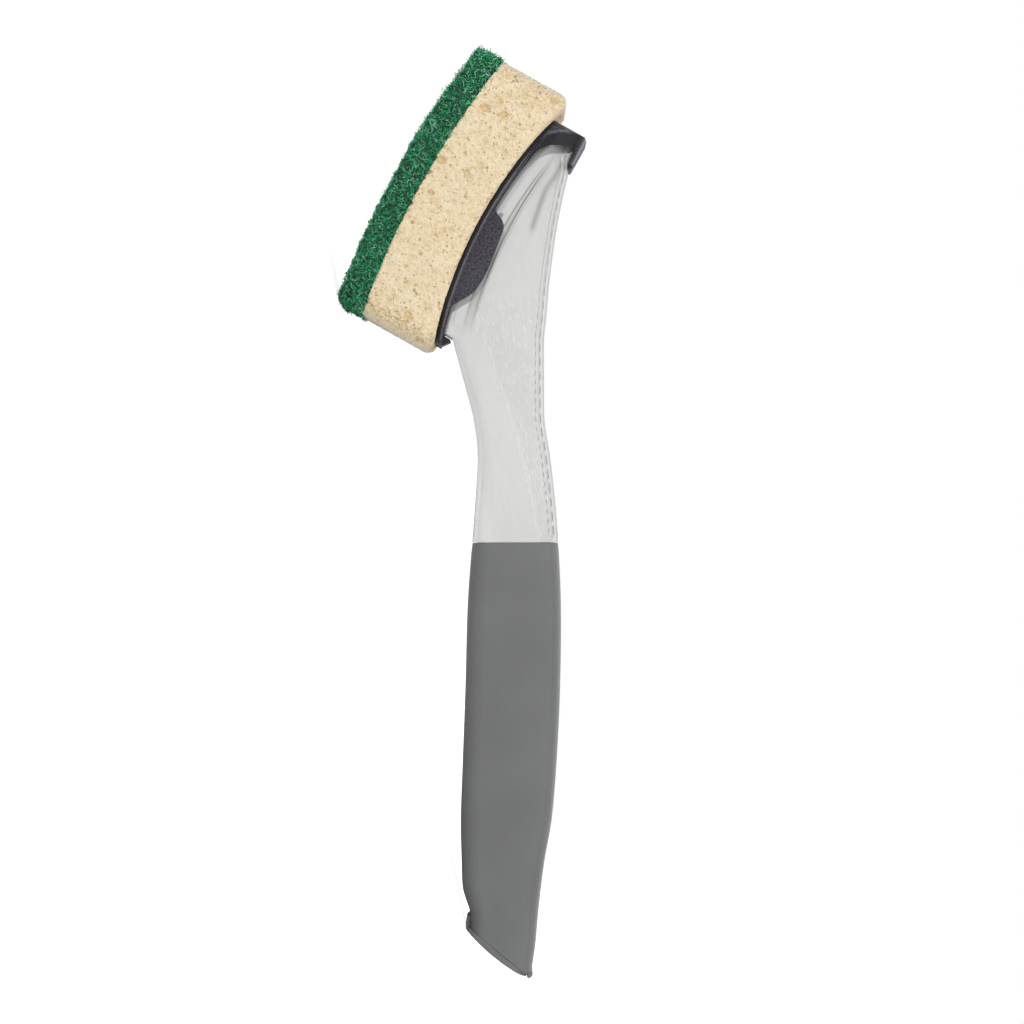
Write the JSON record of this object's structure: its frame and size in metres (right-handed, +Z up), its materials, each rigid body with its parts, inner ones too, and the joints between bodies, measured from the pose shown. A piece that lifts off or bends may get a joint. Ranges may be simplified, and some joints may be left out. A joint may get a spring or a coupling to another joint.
{
  "type": "dish wand",
  "caption": "Liquid-filled dish wand: clear reservoir neck, grey grip with a flip filler lid, and a hooked-on sponge refill with a scouring face.",
  "frame": {"origin": "middle of the underside of the bounding box; the wand lies face down on Z = 0, on the pad's heel edge and the lid's lip", "axes": "+X from the head to the filler end, +Y across the wand, +Z up, away from the worktop"},
  "size_m": [0.2854, 0.056, 0.085],
  "materials": {
    "scouring_nonwoven": "coarse green nonwoven",
    "cellulose_sponge": "cream cellulose sponge with open pores",
    "plate_plastic": "fine-grained charcoal",
    "clear_plastic": "frosted translucent",
    "grip_plastic": "satin mid grey",
    "valve_rubber": "matt silicone"
  },
  "bodies": {
    "handle": {"reservoir_tub": "clear_plastic", "reservoir_cover": "clear_plastic", "drip_valve": "valve_rubber", "grip_sleeve": "grip_plastic", "filler_collar": "grip_plastic", "lid_hinge": "grip_plastic"},
    "refill": {"backing_plate": "plate_plastic", "sponge": "cellulose_sponge", "scour_pad": "scouring_nonwoven"},
    "latch": {"heel_latch": "plate_plastic"},
    "lid": {"filler_lid": "grip_plastic"}
  },
  "joints": [
    {"name": "refill_swing", "type": "hinge", "parent": "handle", "child": "refill", "pos_m": [-0.10221, 0, 0.07855], "axis": [0, 1, 0], "range_deg": [0, 30]},
    {"name": "latch_flex", "type": "hinge", "parent": "refill", "child": "latch", "pos_m": [-0.05676, 0, 0.028], "axis": [0, 1, 0], "range_deg": [0, 12], "stiffness_Nm_per_rad": 0.05},
    {"name": "lid_flip", "type": "hinge", "parent": "handle", "child": "lid", "pos_m": [0.14197, 0, 0.01632], "axis": [0, -1, 0], "range_deg": [0, 160]}
  ]
}
